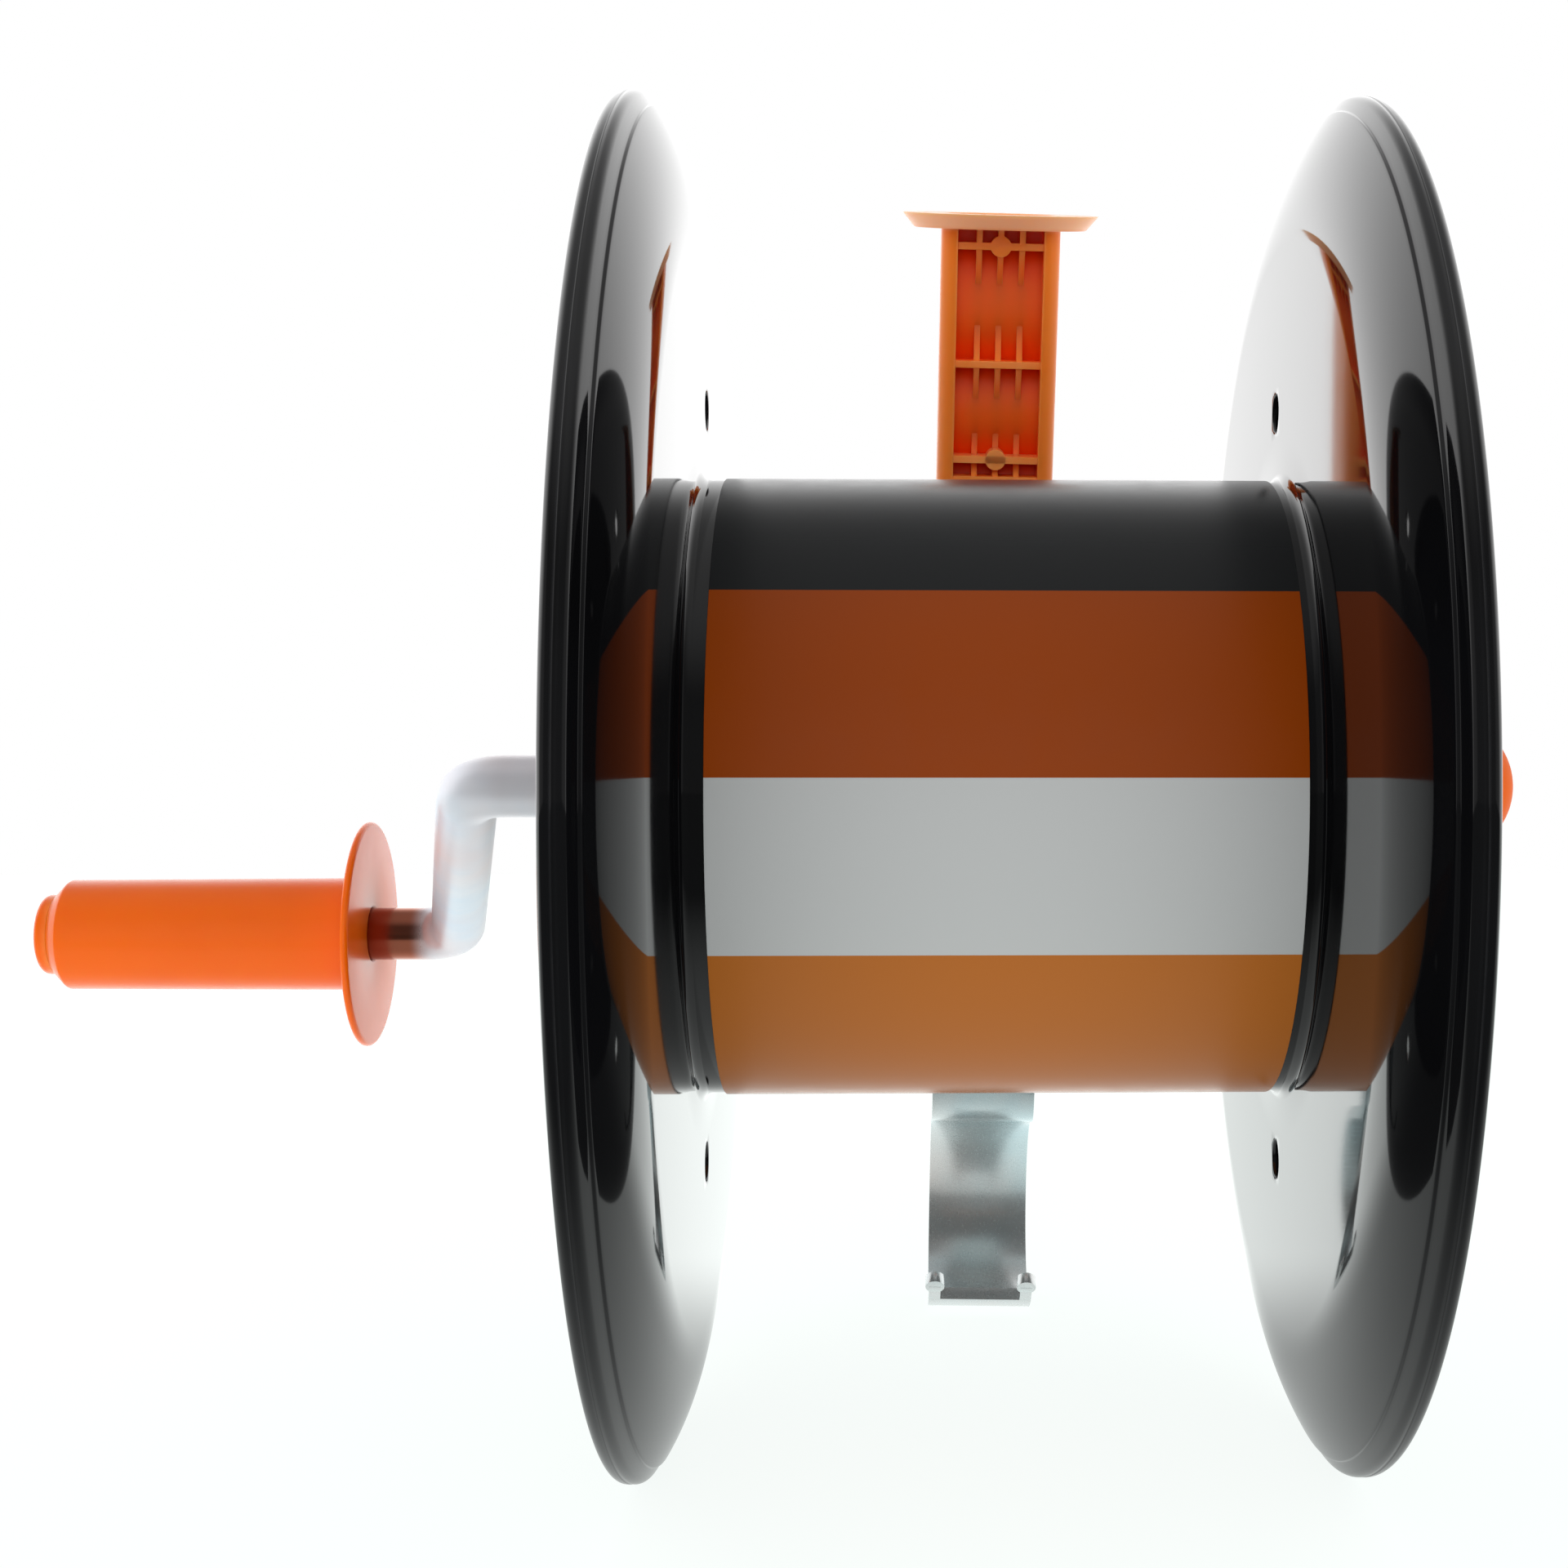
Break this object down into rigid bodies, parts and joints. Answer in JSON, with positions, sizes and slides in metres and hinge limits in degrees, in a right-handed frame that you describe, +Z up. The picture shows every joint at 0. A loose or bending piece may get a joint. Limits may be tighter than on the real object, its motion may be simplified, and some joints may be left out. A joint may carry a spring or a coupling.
{
  "type": "electric fence reel",
  "caption": "Hand-cranked electric fence reel: a flanged moulded spool on a bent-rod crank, in a flat-bar yoke with a carry handle and a hanging hook.",
  "frame": {"origin": "on the axle, midway between the flanges, at the middle of the winding drum", "axes": "+X along the axle towards the capped end, +Y towards the yoke's crossbar and handle, +Z up"},
  "size_m": [0.3168, 0.284, 0.2761],
  "materials": {
    "black_moulding": "polished injection moulding",
    "orange_moulding": "satin injection moulding",
    "zinc_steel": "bright zinc plate",
    "printed_band": "printed film with plain colour bands",
    "nylon": "natural moulded nylon"
  },
  "bodies": {
    "frame": {"yoke": "zinc_steel", "left_bush": "nylon", "right_bush": "nylon", "handle_strip": "zinc_steel", "strip_rivets": "zinc_steel", "carry_handle": "orange_moulding", "pawl_pivot": "zinc_steel", "pawl_washer": "zinc_steel"},
    "spool": {"drum": "black_moulding", "left_flange": "black_moulding", "right_flange": "black_moulding", "label_band": "printed_band", "tie_bolts": "zinc_steel", "tie_nuts": "zinc_steel", "ratchet_ring": "zinc_steel", "crank_axle": "zinc_steel", "drive_pin": "zinc_steel", "axle_washer": "zinc_steel", "axle_retainer": "zinc_steel", "axle_cap": "orange_moulding", "grip_retainer": "zinc_steel"},
    "grip": {"crank_grip": "orange_moulding", "grip_plug": "orange_moulding"},
    "pawl": {"pawl": "orange_moulding"}
  },
  "joints": [
    {"name": "spool_spin", "type": "hinge", "parent": "frame", "child": "spool", "pos_m": [0, 0, 0], "axis": [1, 0, 0], "continuous": true},
    {"name": "grip_spin", "type": "hinge", "parent": "spool", "child": "grip", "pos_m": [-0.18, 0.08869, -0.03404], "axis": [1, 0, 0], "continuous": true},
    {"name": "pawl_swing", "type": "hinge", "parent": "frame", "child": "pawl", "pos_m": [0.066, 0.06285, 0], "axis": [1, 0, 0], "range_deg": [0, 12]}
  ]
}
